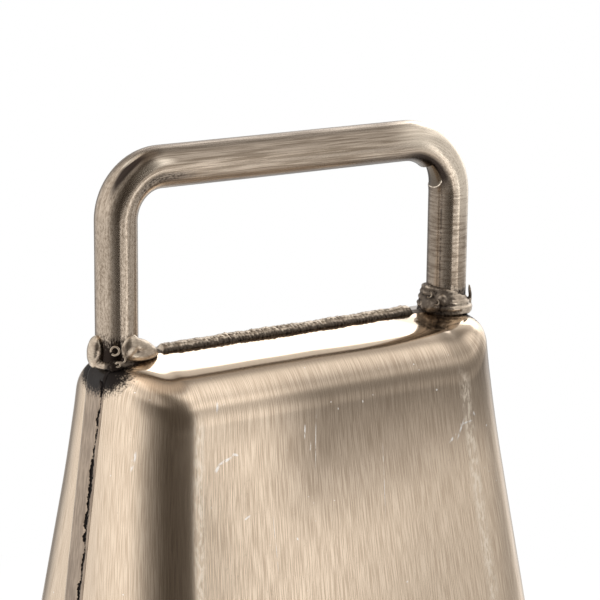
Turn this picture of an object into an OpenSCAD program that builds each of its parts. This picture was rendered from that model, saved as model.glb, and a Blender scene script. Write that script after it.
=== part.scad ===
// Hand cowbell: two pressed sheet halves welded along their edges, a bent rod handle
// welded to the roof, and a ball clapper that hangs from a staple inside.
// Origin: centre of the mouth, in the plane of the rim. X runs along the handle, Y through
// the flat faces with the front at -Y, and Z goes up. All sizes are in millimetres.

/* [Bell body] */
// Height of the roof crest above the rim
body_h = 193; // [160:1:230]
// Width of the mouth, outside
mouth_w = 154; // [140:1:180]
// Depth of the mouth, outside
mouth_d = 101.6; // [90:0.2:120]
// Width that the end walls would reach at the crest
top_w = 104.8; // [104:0.2:108]
// Depth that the flat faces would reach at the crest
top_d = 39.6; // [38:0.2:44]
// Corner radius of the section at the crest
top_corner_r = 15.5; // [12:0.5:16.5]
// Corner radius of the section at the mouth
mouth_corner_r = 24; // [20:0.5:28]
// Thickness of the sheet
sheet_t = 1.2; // [1:0.1:1.6]
// Length below the crest over which the flat faces curve outwards
curve_h = 38; // [30:1:60]
// Slope of the flat faces where that curve starts
curve_start_slope = 0.028; // [0:0.001:0.05]
// Radius of the shoulder above the flat faces
face_shoulder_r = 12.8; // [8:0.1:13.4]
// Radius of the shoulder above the end walls
end_shoulder_r = 4.4; // [4:0.1:5]
// Pitch of the roof from the crest towards the flat faces, in degrees
face_pitch = 13; // [8:0.5:16]
// Pitch of the roof from the crest towards the end walls, in degrees
end_pitch = 9; // [6:0.5:12]
// Half length of the level crest
crest_half = 46; // [44:0.5:47]
// How soon round the left corners a flat face's shoulder gives way to the end wall's; higher is sooner
left_shoulder_fade = 0.8; // [0.8:0.1:6]
// The same round the right corners
right_shoulder_fade = 4; // [0.8:0.1:6]

/* [Seams] */
// Width of the weld metal between the two halves
seam_w = 3.6; // [2.4:0.1:4]
// Height of the bead that stands on the crest
bead_h = 2.3; // [2:0.1:3]
// Half length of that bead
bead_half = 36; // [33:0.5:36]
// Depth of the weld root inside the roof, below the sheet
bead_root = 0.7; // [0.5:0.05:1]

/* [Handle] */
// Diameter of the handle rod
rod_d = 10; // [8:0.5:11]
// Distance between the centres of the two legs
leg_spacing = 95; // [93:0.5:96]
// Height of the middle of the grip above the crest
grip_h = 43.4; // [36:0.1:60]
// Radius of the handle's left bend, at the middle of the rod
left_bend_r = 11.4; // [10:0.1:18]
// Radius of the handle's right bend, at the middle of the rod
right_bend_r = 14.2; // [10:0.1:18]

/* [Clapper] */
// Diameter of the staple wire
staple_d = 5; // [4:0.1:5.4]
// Distance between the centres of the staple's legs
staple_w = 24; // [22:0.5:28]
// Drop from the crest to the middle of the staple's cross bar
staple_drop = 13; // [12:0.5:15]
// Diameter of the ring wire
ring_d = 4; // [3.6:0.1:4.2]
// Width of the ring between the middles of its sides
ring_w = 16; // [15:0.5:18]
// Height of the ring between the middles of its top and bottom
ring_h = 18; // [17.5:0.5:20]
// Diameter of the clapper's shank
shank_d = 6; // [5:0.1:6.4]
// Diameter of the wire that forms the clapper's eye
eye_d = 5.6; // [5:0.1:5.8]
// Radius of the clapper's eye, at the middle of the wire
eye_r = 8; // [7.5:0.1:8.5]
// Diameter of the clapper's ball
ball_d = 30; // [24:0.5:32]
// Height of the ball's centre above the rim
ball_z = 40; // [32:1:60]
// Gap left between pieces that swing on each other
swing_gap = 0.3; // [0.2:0.05:0.4]

/* [Hidden] */
$fn = 64;

// Steps of the lofted sheet: straight wall, curved wall, shoulder, corner arc and flat face
straight_steps = 6;
curved_steps = 7;
shoulder_steps = 10;
corner_steps = 14;
face_steps = 6;

// Slope of the end walls, growth of the corner radius, and slope of the flat faces below their curve
end_slope = (mouth_w - top_w) / 2 / body_h;
corner_slope = (mouth_corner_r - top_corner_r) / body_h;
face_slope = ((mouth_d - top_d) / 2 - curve_start_slope * curve_h / 2) / (body_h - curve_h / 2);
// Drop below the crest at which the shoulders' section is taken
shoulder_drop = 12;

rod_r = rod_d / 2;
leg_x = leg_spacing / 2;
grip_z = body_h + grip_h;

// Swing axes: the staple's cross bar, and the bottom bar of the ring
staple_r = staple_d / 2;
staple_bend_r = 6;
staple_z = body_h - staple_drop;
ring_r = ring_d / 2;
ring_bend_r = 4.5;
ring_top_z = staple_z + staple_r + swing_gap + ring_r;
ring_bottom_z = ring_top_z - ring_h;
eye_wire_r = eye_d / 2;
eye_top_z = ring_bottom_z + ring_r + swing_gap + eye_wire_r;
eye_z = eye_top_z - eye_r;
shank_r = shank_d / 2;
ball_r = ball_d / 2;
// Length of the shank's end inside the ball
ball_socket = 0.75 * ball_d;

steel = "#a99c88";
weld_metal = "#6f675b";
clapper_steel = "#8b8578";

// Half sizes of the outer section at a drop s below the crest, and the slopes of its walls
function half_w(s) = top_w / 2 + end_slope * s;
function half_d(s) = s < curve_h
    ? top_d / 2 + curve_start_slope * s + (face_slope - curve_start_slope) * s * s / (2 * curve_h)
    : half_d(curve_h - 0.001) + face_slope * (s - curve_h);
function corner_r(s) = top_corner_r + corner_slope * s;
function face_slope_at(s) =
    curve_start_slope + (face_slope - curve_start_slope) * min(1, s / curve_h);
function lean(s, n) = atan(corner_slope + (end_slope - corner_slope) * abs(n[0])
    + (face_slope_at(s) - corner_slope) * abs(n[1]));

// Front half of the outer section, from the left seam to the right one, as [point, normal]
function corner(x, y, r, from) = [for (j = [0:corner_steps])
    let (t = from + 90 * j / corner_steps, n = [cos(t), sin(t)]) [[x, y] + r * n, n]];
function front_section(s) =
    let (a = half_w(s), b = half_d(s), r = corner_r(s))
    concat([[[-a, -seam_w / 2], [-1, 0]]],
        corner(-(a - r), -(b - r), r, 180),
        [for (j = [1:face_steps - 1]) [[(a - r) * (2 * j / face_steps - 1), -b], [0, -1]]],
        corner(a - r, -(b - r), r, 270),
        [[[a, -seam_w / 2], [1, 0]]]);

// Shoulder radius and roof pitch where the wall faces along a normal
function around(n, at_end, at_face) =
    let (fade = n[0] < 0 ? left_shoulder_fade : right_shoulder_fade)
    at_end + (at_face - at_end) * pow(abs(n[1]), fade);
function shoulder_r(n) = around(n, end_shoulder_r, face_shoulder_r);
function pitch(n) = around(n, end_pitch, face_pitch);

// Where the roof above a wall point meets the crest. The spread keeps the fan's points apart
crest_spread = 0.004;
function crest_point(p) =
    [p[0] * crest_half / half_w(shoulder_drop) * (1 + crest_spread * p[1]), -seam_w / 2];

// Drop below the crest at which a wall turns into its shoulder, so that the roof reaches the crest
function wall_top(q) =
    let (n = q[1], r = shoulder_r(n), wall_lean = lean(shoulder_drop, n),
        run = (q[0] - crest_point(q[0])) * n - r * (cos(wall_lean) - sin(pitch(n))))
    r * (cos(pitch(n)) - sin(wall_lean)) + run * tan(pitch(n));
wall_tops = [for (q = front_section(shoulder_drop)) wall_top(q)];

// Rows of [outer point, inner point] from the rim up to the crest
function wall_point(i, s) =
    let (q = front_section(s)[i], inset = sheet_t / cos(lean(s, q[1])))
    [concat(q[0], body_h - s), concat(q[0] - inset * q[1], body_h - s)];

function shoulder_point(i, k) =
    let (q = front_section(wall_tops[i])[i], n = q[1], r = shoulder_r(n),
        from = lean(shoulder_drop, n),
        turn = from + (90 - pitch(n) - from) * k / shoulder_steps,
        flat = q[0] - r * (cos(from) - cos(turn)) * n,
        outer = concat(flat, body_h - wall_tops[i] + r * (sin(turn) - sin(from))))
    [outer, outer - sheet_t * concat(cos(turn) * n, sin(turn))];

columns = [for (i = [0:len(wall_tops) - 1]) i];
straight_rows = [for (j = [0:straight_steps])
    [for (i = columns) wall_point(i, body_h + (curve_h - body_h) * j / straight_steps)]];
curved_rows = [for (j = [1:curved_steps])
    [for (i = columns) wall_point(i, curve_h + (wall_tops[i] - curve_h) * j / curved_steps)]];
shoulder_rows = [for (k = [1:shoulder_steps]) [for (i = columns) shoulder_point(i, k)]];
crest_row = [for (q = front_section(shoulder_drop))
    let (flat = crest_point(q[0]))
    [concat(flat, body_h), concat(flat, body_h - sheet_t / cos(pitch(q[1])))]];
shell_rows = concat(straight_rows, curved_rows, shoulder_rows, [crest_row]);
last_row = len(shell_rows) - 1;
last_column = len(crest_row) - 1;
row_size = last_column + 1;

// Two triangles for each cell of a grid of points that starts at index first
function grid_faces(first, rows, across, flip) = [
    for (k = [0:rows - 1]) for (i = [0:across - 1])
    let (a = first + k * (across + 1) + i, b = a + 1, d = a + across + 1, c = d + 1)
    each flip ? [[a, b, c], [a, c, d]] : [[a, c, b], [a, d, c]]];

// Two triangles for each cell of the strip that joins two lines of points
function strip_faces(one, other) = [for (j = [0:len(one) - 2])
    each [[one[j], one[j + 1], other[j + 1]], [one[j], other[j + 1], other[j]]]];

// One pressed half: outer and inner skins joined at the rim, the seams and the crest
module half_shell() {
    inner = (last_row + 1) * row_size;
    rows = [for (k = [0:last_row]) k * row_size];
    polyhedron(
        points = concat([for (r = shell_rows) for (p = r) p[0]],
            [for (r = shell_rows) for (p = r) p[1]]),
        faces = concat(
            grid_faces(0, last_row, last_column, false),
            grid_faces(inner, last_row, last_column, true),
            strip_faces(columns, [for (i = columns) i + inner]),
            strip_faces([for (i = columns) i + inner + last_row * row_size],
                [for (i = columns) i + last_row * row_size]),
            strip_faces([for (k = rows) k + inner], rows),
            strip_faces([for (k = rows) k + last_column], [for (k = rows) k + last_column + inner])));
}

// The outside of both halves together near the roof, closed, for seating the weld metal
module roof_envelope() {
    first = straight_steps + curved_steps - 3;
    loops = [for (k = [first:last_row]) concat([for (p = shell_rows[k]) p[0]],
        [for (i = [last_column:-1:0]) let (p = shell_rows[k][i][0]) [p[0], -p[1], p[2]]])];
    count = 2 * row_size;
    top = (len(loops) - 1) * count;
    polyhedron(
        points = [for (l = loops) each l],
        faces = concat(
            [for (k = [0:len(loops) - 2]) for (i = [0:count - 1])
                let (a = k * count + i, b = k * count + (i + 1) % count, c = b + count, d = a + count)
                each [[a, c, b], [a, d, c]]],
            [[for (i = [0:count - 1]) i]],
            strip_faces([for (i = columns) top + count - 1 - i], [for (i = columns) top + i])));
}

module front_shell() {
    color(steel) half_shell();
}

module rear_shell() {
    color(steel) mirror([0, 1, 0]) half_shell();
}

// Weld metal, ground flush, that fills the seam up one end wall to the end of the crest
module end_seam() {
    profile = concat([for (r = shell_rows) [r[0][0][0], r[0][0][2]]],
        [for (k = [last_row:-1:0]) let (p = shell_rows[k][0][1]) [p[0], p[2]]]);
    rotate([90, 0, 0]) linear_extrude(seam_w, center = true) polygon(profile);
}

module left_seam_weld() {
    color(weld_metal) end_seam();
}

module right_seam_weld() {
    color(weld_metal) mirror([1, 0, 0]) end_seam();
}

module along_x(length) {
    rotate([90, 0, 90]) linear_extrude(length, center = true) children();
}

// The crest's weld: a root between the halves and a round bead that stands on it
module top_seam_weld() {
    root_h = sheet_t + bead_root;
    crest_end = -crest_row[0][0][0];
    crown_r = seam_w / 2;
    color(weld_metal) translate([0, 0, body_h]) {
        along_x(2 * crest_end) translate([-seam_w / 2, -root_h]) square([seam_w, root_h]);
        along_x(2 * bead_half) {
            translate([-seam_w / 2, -0.1]) square([seam_w, bead_h - crown_r + 0.1]);
            translate([0, bead_h - crown_r]) circle(crown_r);
        }
    }
}

// A round bar bent through a quarter turn, from straight down at [-r, 0] to along +X at [0, r]
module quarter_bend(r, wire_r) {
    rotate([90, 0, 0]) rotate_extrude(angle = 90, start = 90) translate([r, 0]) circle(wire_r);
}

module bar_x(length, wire_r) {
    rotate([0, 90, 0]) cylinder(h = length, r = wire_r, center = true);
}

// One leg of the handle, standing on the crest, with the bend above it
module leg_and_bend(r) {
    leg_top_z = grip_z - r;
    translate([-leg_x + r, 0, leg_top_z]) quarter_bend(r, rod_r);
    translate([-leg_x, 0, body_h]) cylinder(h = leg_top_z - body_h, r = rod_r);
}

// One rod bent into a square-shouldered hoop
module handle() {
    color(steel) {
        translate([(left_bend_r - right_bend_r) / 2, 0, grip_z])
            bar_x(leg_spacing - left_bend_r - right_bend_r, rod_r);
        leg_and_bend(left_bend_r);
        mirror([1, 0, 0]) leg_and_bend(right_bend_r);
    }
}

// A run of weld metal that tapers from one round end to the other; radii holds both ends' radii
module weld_run(from, to, radii) {
    along = to - from;
    length = norm(along);
    translate(from)
        rotate([0, acos(along[2] / length), atan2(along[1], along[0])]) {
            sphere(radii[0]);
            cylinder(h = length, r1 = radii[0], r2 = radii[1]);
            translate([0, 0, length]) sphere(radii[1]);
        }
}

// Weld metal drawn round a left foot at the origin, cut to sit on the roof; side is -1 or 1
module seated_on_roof(side) {
    difference() {
        translate([side * leg_x, 0, body_h]) mirror([side > 0 ? 1 : 0, 0, 0]) children();
        roof_envelope();
        translate([side * leg_x, 0, body_h]) cylinder(h = grip_h, r = rod_r);
    }
}

// Left foot: a low collar, a run that slopes inwards on both faces, and an upright one outside
module left_handle_weld() {
    collar_h = 3.2;
    collar_foot_r = rod_r + 1.8;
    collar_top_r = rod_r + 1;
    face_run_start = [-0.4, rod_r, 4];
    face_run_foot = [7, rod_r, 0.8];
    face_run_r = [2.8, 2];
    outer_run_start = [-5.2, -0.4, 4.4];
    outer_run_foot = [-5.7, -0.4, -0.2];
    outer_run_r = [1.6, 2.4];
    color(weld_metal) seated_on_roof(-1) {
        translate([0, 0, -collar_h / 2]) cylinder(h = collar_h, r1 = collar_foot_r, r2 = collar_top_r);
        for (face = [0, 1]) mirror([0, face, 0]) weld_run(face_run_start, face_run_foot, face_run_r);
        weld_run(outer_run_start, outer_run_foot, outer_run_r);
    }
}

// Right foot: a leaning conical skirt, a run towards the bead and two across the rod
module right_handle_weld() {
    skirt_h = 7;
    skirt_drop = 1.4;
    skirt_lean = 6;
    skirt_foot_r = rod_r + 3.4;
    skirt_top_r = rod_r + 0.6;
    bead_run_start = [4.6, -1.6, 4];
    bead_run_foot = [9, -0.4, 1];
    bead_run_r = [2.6, 2.1];
    inner_run_rear = [4.8, 3, 1.4];
    inner_run_front = [5.6, -4.4, 1];
    inner_run_r = [2.4, 2.2];
    outer_run_rear = [-4.6, 3, 0.8];
    outer_run_front = [-4.8, -2.6, 0.6];
    outer_run_r = [2.8, 3];
    color(weld_metal) seated_on_roof(1) {
        rotate([0, -skirt_lean, 0]) translate([0, 0, -skirt_drop])
            cylinder(h = skirt_h, r1 = skirt_foot_r, r2 = skirt_top_r);
        weld_run(bead_run_start, bead_run_foot, bead_run_r);
        weld_run(inner_run_rear, inner_run_front, inner_run_r);
        weld_run(outer_run_rear, outer_run_front, outer_run_r);
    }
}

// A bent wire staple whose legs stand against the weld root under the crest
module clapper_staple() {
    leg_top_z = body_h - sheet_t - bead_root;
    color(clapper_steel) {
        translate([0, 0, staple_z]) bar_x(staple_w - 2 * staple_bend_r, staple_r);
        for (side = [0, 1]) mirror([side, 0, 0]) {
            translate([-staple_w / 2 + staple_bend_r, 0, staple_z + staple_bend_r])
                mirror([0, 0, 1]) quarter_bend(staple_bend_r, staple_r);
            translate([-staple_w / 2, 0, staple_z + staple_bend_r])
                cylinder(h = leg_top_z - staple_z - staple_bend_r, r = staple_r);
        }
    }
}

// Fillets between the staple's legs and the inside of the roof
module staple_welds() {
    under_z = body_h - sheet_t / cos(face_pitch);
    fillet_h = 4.2;
    fillet_r = 5.2;
    reach = fillet_r + 1;
    color(weld_metal) for (side = [-1, 1]) difference() {
        translate([side * staple_w / 2, 0, under_z - fillet_h])
            cylinder(h = fillet_h, r1 = staple_r + 0.2, r2 = fillet_r);
        for (face = [0, 1]) mirror([0, face, 0])
            translate([side * staple_w / 2, 0, under_z]) along_x(3 * reach)
                polygon([[seam_w / 2, 0], [reach, -(reach - seam_w / 2) * tan(face_pitch)],
                    [reach, fillet_h], [seam_w / 2, fillet_h]]);
        translate([side * staple_w / 2, 0, body_h - sheet_t - bead_root]) along_x(3 * reach)
            translate([-seam_w / 2, 0]) square([seam_w, fillet_h]);
        translate([side * staple_w / 2, 0, staple_z]) cylinder(h = staple_drop, r = staple_r);
    }
}

// A closed rectangular wire ring that hangs on the staple, in the plane x = 0
module hanger_ring() {
    half_y = ring_w / 2 - ring_bend_r;
    half_z = ring_h / 2 - ring_bend_r;
    color(clapper_steel) translate([0, 0, ring_top_z - ring_h / 2]) rotate([0, 0, 90])
        for (upside = [0, 1]) mirror([0, 0, upside]) {
            translate([0, 0, ring_h / 2]) bar_x(2 * half_y, ring_r);
            for (side = [0, 1]) mirror([side, 0, 0]) {
                translate([-half_y, 0, half_z]) quarter_bend(ring_bend_r, ring_r);
                translate([-ring_w / 2, 0, 0]) cylinder(h = half_z, r = ring_r);
            }
        }
}

// A rod with a closed eye at its top, pressed into the ball at its foot
module clapper_shank() {
    foot_z = ball_z + ball_r - ball_socket;
    color(clapper_steel) {
        translate([0, 0, eye_z]) rotate([90, 0, 0])
            rotate_extrude() translate([eye_r, 0]) circle(eye_wire_r);
        translate([0, 0, foot_z]) cylinder(h = eye_z - eye_r - foot_z, r = shank_r);
    }
}

module clapper_ball() {
    color(clapper_steel) difference() {
        translate([0, 0, ball_z]) sphere(ball_r);
        translate([0, 0, ball_z + ball_r - ball_socket]) cylinder(h = ball_d, r = shank_r);
    }
}

// A ring of weld metal where the shank enters the ball
module ball_weld() {
    collar_r = shank_r + 2.4;
    collar_h = 4;
    base_z = ball_z + sqrt(ball_r * ball_r - collar_r * collar_r);
    color(weld_metal) difference() {
        translate([0, 0, base_z]) cylinder(h = collar_h, r1 = collar_r, r2 = shank_r + 0.3);
        translate([0, 0, ball_z]) sphere(ball_r);
        translate([0, 0, ball_z]) cylinder(h = ball_d, r = shank_r);
    }
}

front_shell();
rear_shell();
left_seam_weld();
right_seam_weld();
top_seam_weld();
handle();
left_handle_weld();
right_handle_weld();
clapper_staple();
staple_welds();
hanger_ring();
clapper_shank();
clapper_ball();
ball_weld();
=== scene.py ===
"""Looks of the hand cowbell: brushed halves, weld seams, a bent rod handle and a hanging clapper.

Metres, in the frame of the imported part: X along the handle, the front face at -Y, Z up.
"""
from math import atan, atan2, copysign, cos, degrees, hypot, pi, radians, sin, tan
from types import SimpleNamespace

import bmesh
import bpy
from mathutils import Matrix, Vector, noise
from mathutils.bvhtree import BVHTree


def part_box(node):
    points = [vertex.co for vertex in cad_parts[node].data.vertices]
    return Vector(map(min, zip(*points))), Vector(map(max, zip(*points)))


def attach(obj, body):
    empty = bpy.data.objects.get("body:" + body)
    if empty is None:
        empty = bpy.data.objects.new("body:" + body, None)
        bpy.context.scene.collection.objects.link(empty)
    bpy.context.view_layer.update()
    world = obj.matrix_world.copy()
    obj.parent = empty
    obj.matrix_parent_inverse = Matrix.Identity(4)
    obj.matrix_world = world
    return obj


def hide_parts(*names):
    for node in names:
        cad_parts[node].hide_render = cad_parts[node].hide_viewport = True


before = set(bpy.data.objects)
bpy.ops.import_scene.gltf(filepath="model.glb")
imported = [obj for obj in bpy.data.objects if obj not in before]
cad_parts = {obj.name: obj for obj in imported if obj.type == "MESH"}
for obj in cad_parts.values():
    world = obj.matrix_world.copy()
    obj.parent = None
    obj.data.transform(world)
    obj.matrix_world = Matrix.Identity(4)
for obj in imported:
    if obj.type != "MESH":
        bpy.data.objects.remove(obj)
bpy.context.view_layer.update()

MM = 0.001
QUARTER = pi / 2
X_AXIS, Y_AXIS, Z_AXIS = Vector((1, 0, 0)), Vector((0, 1, 0)), Vector((0, 0, 1))
SAME_POINT = 1e-6
ON_STRAIGHT = 1e-7

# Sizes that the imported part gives
shell_low, shell_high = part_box("front_shell")
handle_low, handle_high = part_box("handle")
bead_low, bead_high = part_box("top_seam_weld")
staple_low, staple_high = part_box("clapper_staple")
fillet_low, fillet_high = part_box("staple_welds")
ring_low, ring_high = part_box("hanger_ring")
shank_low, shank_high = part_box("clapper_shank")
ball_low, ball_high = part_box("clapper_ball")
collar_low, collar_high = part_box("ball_weld")

BODY_H = shell_high.z
MOUTH_HALF_W = shell_high.x
MOUTH_HALF_D = -shell_low.y
SEAM_HALF = bead_high.y
ROD_R = handle_high.y
LEG_X = handle_high.x - ROD_R
GRIP_Z = handle_high.z - ROD_R

# Sizes of the pressed halves that no box shows
TOP_HALF_W = 52.4 * MM
TOP_HALF_D = 19.8 * MM
TOP_CORNER_R = 15.5 * MM
MOUTH_CORNER_R = 24 * MM
SHEET_T = 1.2 * MM
CURVE_H = 38 * MM
CURVE_START_SLOPE = 0.028
FACE_SHOULDER_R = 12.8 * MM
END_SHOULDER_R = 4.4 * MM
FACE_PITCH = radians(13)
END_PITCH = radians(9)
CREST_HALF = 46 * MM
CREST_SPREAD = 4.0
SHOULDER_DROP = 12 * MM
FACE_BULGE = 0.8 * MM
LEFT_SHOULDER_FADE = 0.8
RIGHT_SHOULDER_FADE = 4

CORE_X = MOUTH_HALF_W - MOUTH_CORNER_R
CORE_Y = MOUTH_HALF_D - MOUTH_CORNER_R
CORNER_SLOPE = (MOUTH_CORNER_R - TOP_CORNER_R) / BODY_H
END_SLOPE = (MOUTH_HALF_W - TOP_HALF_W) / BODY_H
FACE_SLOPE = (MOUTH_HALF_D - TOP_HALF_D - CURVE_START_SLOPE * CURVE_H / 2) / (BODY_H - CURVE_H / 2)

# Steps of the halves: along the rim, then up the skin
RIM_END_STEPS, RIM_CORNER_STEPS, RIM_FACE_STEPS = 8, 26, 44
WALL_STEPS, SHOULDER_STEPS, ROOF_STEPS = 44, 22, 8
WALL_STEP_CLOSING = 1.5

# Seams
BEAD_HALF = 36 * MM
BEAD_STEPS = 300
CAP_HALF = 4.0 * MM
CAP_STEPS, SEAM_STEPS = 40, 560
SEAM_WALL_SHARE = 0.97

# Handle, and the lengths along its straight rod at which the bends begin and end
LEFT_BEND_R = 11.4 * MM
RIGHT_BEND_R = 14.2 * MM
LEFT_BEND_AT = GRIP_Z - LEFT_BEND_R - handle_low.z
GRIP_AT = LEFT_BEND_AT + QUARTER * LEFT_BEND_R
RIGHT_BEND_AT = GRIP_AT + 2 * LEG_X - LEFT_BEND_R - RIGHT_BEND_R
RIGHT_LEG_AT = RIGHT_BEND_AT + QUARTER * RIGHT_BEND_R
ROD_LENGTH = RIGHT_LEG_AT + GRIP_Z - RIGHT_BEND_R - handle_low.z

# Clapper
SHANK_R = 3 * MM
EYE_WIRE_R = shank_high.y
STAPLE_BEND_R = 6 * MM
RING_BEND_R = 4.5 * MM
WIRE_JOIN = 0.02 * MM
STAPLE_WIRE_R = staple_high.y
STAPLE_LEG_X = staple_high.x - STAPLE_WIRE_R

# Edges sharper than this many degrees stay sharp
SHEET_SHARP, SEAM_SHARP, WELD_SHARP = 38, 60, 80


# Mesh helpers

def clamp(value):
    return max(0.0, min(1.0, value))


def keep_piece(bm, name, body, slot, finishes, node, sharp_deg):
    """Turns a built shape into a smooth-shaded piece that rides on a body and stands for a CAD node."""
    mesh = bpy.data.meshes.new(name)
    bm.to_mesh(mesh)
    bm.free()
    mesh.shade_smooth()
    mesh.set_sharp_from_angle(angle=radians(sharp_deg))
    for finish in finishes:
        mesh.materials.append(finish)
    piece = bpy.data.objects.new(name, mesh)
    bpy.context.scene.collection.objects.link(piece)
    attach(piece, body)
    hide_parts(node)


def extrude_chain(bm, edges):
    """Extrudes a chain or ring of edges in place; gives the new verts and edges."""
    made = bmesh.ops.extrude_edge_only(bm, edges=edges)["geom"]
    verts = [g for g in made if isinstance(g, bmesh.types.BMVert)]
    fresh = set(verts)
    new_edges = [g for g in made if isinstance(g, bmesh.types.BMEdge) and fresh.issuperset(g.verts)]
    return verts, new_edges


def start_wire(bm, radius, sides, place):
    """A ring of edges that a wire is swept from, lying across the wire's axis, local Z.

    The layer unbent keeps each point's place on the straight wire, so that a grain can follow it."""
    layers = bm.verts.layers.float_vector
    unbent = layers.get("unbent") or layers.new("unbent")
    verts = bmesh.ops.create_circle(bm, segments=sides, radius=radius, matrix=place)["verts"]
    for v in verts:
        v[unbent] = v.co - place.translation
    return verts, list({e for v in verts for e in v.link_edges}), unbent


def sweep_wire(bm, edges, moves, unbent):
    """Extrudes a ring along moves, each ('go', vector, steps) or ('turn', centre, axis, angle, steps)."""
    length = 0.0
    for move in moves:
        steps = move[-1]
        for _ in range(steps):
            verts, edges = extrude_chain(bm, edges)
            if move[0] == "go":
                bmesh.ops.translate(bm, verts=verts, vec=move[1] / steps)
                length += move[1].length / steps
            else:
                centre, axis, angle = move[1:4]
                turn = Matrix.Rotation(angle / steps, 3, axis)
                middle = sum((v.co for v in verts), Vector()) / len(verts)
                bmesh.ops.rotate(bm, verts=verts, cent=centre, matrix=turn)
                length += (middle - centre).length * abs(angle) / steps
            for v in verts:
                v[unbent].z = length
    return edges


def face_out(bm):
    bmesh.ops.recalc_face_normals(bm, faces=bm.faces)


def close_ends(bm):
    """Fills a wire's open ends and turns the faces outwards."""
    bmesh.ops.holes_fill(bm, edges=[e for e in bm.edges if e.is_boundary], sides=0)
    face_out(bm)


def merge_skin(bm, gap):
    """Merges points closer than a gap and turns the faces outwards."""
    bmesh.ops.remove_doubles(bm, verts=bm.verts, dist=gap)
    face_out(bm)


def face_away(bm, outward):
    """Turns an open skin so that its face furthest along a direction faces that way."""
    face_out(bm)
    probe = max(bm.faces, key=lambda f: f.calc_center_median().dot(outward))
    if probe.normal.dot(outward) < 0:
        bmesh.ops.reverse_faces(bm, faces=bm.faces)


def keep_above_table(bm):
    for v in bm.verts:
        v.co.z = max(v.co.z, 0.0)


def smooth_over(bm, verts, times):
    for _ in range(times):
        bmesh.ops.smooth_vert(bm, verts=verts, factor=0.5, use_axis_x=True, use_axis_y=True, use_axis_z=True)


def spin_fillet(bm, points, middle, steps):
    """Spins a profile of points, cut finer, right round an upright line."""
    verts = [bm.verts.new(point) for point in points]
    edges = [bm.edges.new(pair) for pair in zip(verts, verts[1:])]
    bmesh.ops.subdivide_edges(bm, edges=edges, cuts=4)
    profile = [v for v in bm.verts if not v.link_faces]
    rows = list({e for v in profile for e in v.link_edges})
    bmesh.ops.spin(
        bm, geom=profile + rows, cent=middle, axis=Z_AXIS, dvec=(0, 0, 0), angle=2 * pi, steps=steps,
        use_merge=True,
    )


def lumps(point, size_mm, seed):
    """Smooth noise from -1 to 1 with lumps of about that size."""
    return noise.noise(point / (size_mm * MM) + Vector((seed, 1.7 * seed, 2.3 * seed)))


# Pressed halves

def half_width(drop):
    return TOP_HALF_W + END_SLOPE * drop


def half_depth(drop):
    if drop < CURVE_H:
        bend = (FACE_SLOPE - CURVE_START_SLOPE) / (2 * CURVE_H)
        return TOP_HALF_D + CURVE_START_SLOPE * drop + bend * drop ** 2
    return TOP_HALF_D + CURVE_START_SLOPE * CURVE_H / 2 + FACE_SLOPE * (drop - CURVE_H / 2)


def up_the_wall(rim, drop):
    """Where a point of the rim comes to at a drop below the crest, and the wall's level normal there."""
    a, b, r = half_width(drop), half_depth(drop), TOP_CORNER_R + CORNER_SLOPE * drop
    side = copysign(1, rim.x)
    over_x, over_y = abs(rim.x) - CORE_X, -rim.y - CORE_Y
    if over_x <= ON_STRAIGHT:
        return Vector((rim.x / CORE_X * (a - r), -b)), Vector((0, -1))
    if over_y <= ON_STRAIGHT:
        share = (-rim.y - SEAM_HALF) / (CORE_Y - SEAM_HALF)
        return Vector((side * a, -SEAM_HALF - share * (b - r - SEAM_HALF))), Vector((side, 0))
    normal = Vector((side * over_x, -over_y)).normalized()
    return Vector((side * (a - r), -(b - r))) + r * normal, normal


def around(normal, at_end, at_face):
    """A value that goes over from a flat face's to an end wall's round the corner."""
    fade = LEFT_SHOULDER_FADE if normal.x < 0 else RIGHT_SHOULDER_FADE
    return at_end + (at_face - at_end) * abs(normal.y) ** fade


def shoulder_bend(normal):
    """The shoulder's radius, the roof's pitch and the wall's lean where the wall faces a level way."""
    face = CURVE_START_SLOPE + (FACE_SLOPE - CURVE_START_SLOPE) * SHOULDER_DROP / CURVE_H
    slope = CORNER_SLOPE + (END_SLOPE - CORNER_SLOPE) * abs(normal.x) + (face - CORNER_SLOPE) * abs(normal.y)
    r = around(normal, END_SHOULDER_R, FACE_SHOULDER_R)
    return r, around(normal, END_PITCH, FACE_PITCH), atan(slope)


def skin_point(rim, part, share):
    """A point of the outer skin above a rim point: on the wall, the shoulder or the roof."""
    base, n = up_the_wall(rim, SHOULDER_DROP)
    r, pitch, lean = shoulder_bend(n)
    crest_x = base.x * CREST_HALF / half_width(SHOULDER_DROP) * (1 + CREST_SPREAD * base.y)
    crest = Vector((crest_x, -SEAM_HALF))
    run = (base - crest).dot(n) - r * (cos(lean) - sin(pitch))
    wall_top = r * (cos(pitch) - sin(lean)) + run * tan(pitch)
    if part == "wall":
        drop = BODY_H + (wall_top - BODY_H) * share
        p, _ = up_the_wall(rim, drop)
        return Vector((p.x, p.y, BODY_H - drop))
    turn = lean + (QUARTER - pitch - lean) * (share if part == "shoulder" else 1)
    p, n = up_the_wall(rim, wall_top)
    p = p - r * (cos(lean) - cos(turn)) * n
    end = Vector((p.x, p.y, BODY_H - wall_top + r * (sin(turn) - sin(lean))))
    if part == "shoulder":
        return end
    return end.lerp(Vector((crest.x, crest.y, BODY_H)), share)


def round_the_rim(rim):
    """The length round the rim from the middle of a flat face, negative towards the left."""
    over_x, over_y = abs(rim.x) - CORE_X, abs(rim.y) - CORE_Y
    if over_x <= 0:
        return rim.x
    turned = atan2(over_x, max(0.0, over_y))
    return copysign(CORE_X + MOUTH_CORNER_R * turned + max(0.0, -over_y), rim.x)


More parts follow.
